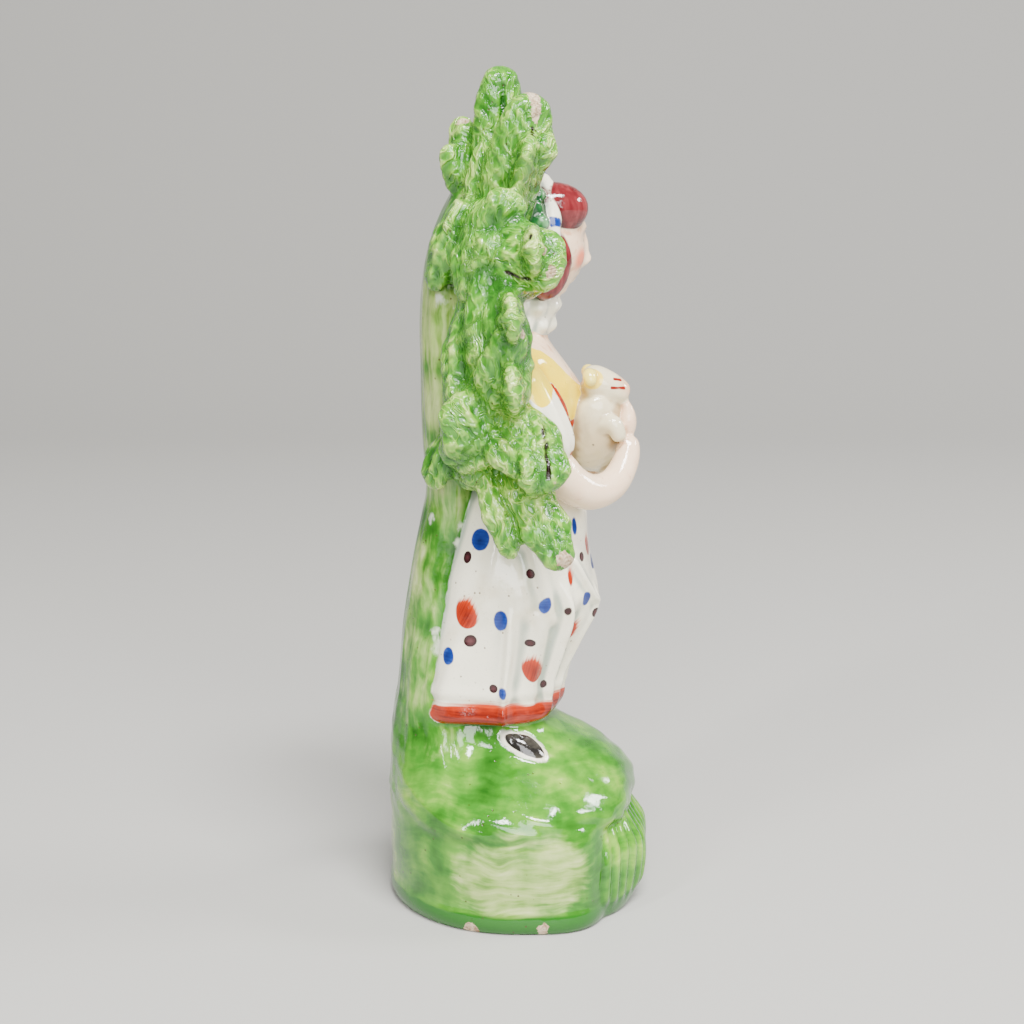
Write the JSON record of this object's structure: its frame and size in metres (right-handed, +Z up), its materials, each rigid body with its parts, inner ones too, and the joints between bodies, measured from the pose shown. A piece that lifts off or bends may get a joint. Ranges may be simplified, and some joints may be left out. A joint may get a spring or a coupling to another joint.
{
  "type": "pearlware bocage figure of a shepherdess with a lamb",
  "caption": "Pottery figure of a woman holding a lamb, standing on a grassy mound base before a leafy tree of moulded sprigs.",
  "frame": {"origin": "centre of the figure's outline seen from above, on the surface that it stands on", "axes": "+Z up, the figure faces -Y, and her right hand side is -X"},
  "size_m": [0.0676, 0.048, 0.1499],
  "materials": {
    "glazed_pearlware": "glossy lead-glazed white earthenware painted in copper green, antimony yellow, iron red, cobalt blue, brown and flesh"
  },
  "bodies": {
    "root": {"shepherdess_bocage_figure": "glazed_pearlware"}
  },
  "joints": []
}
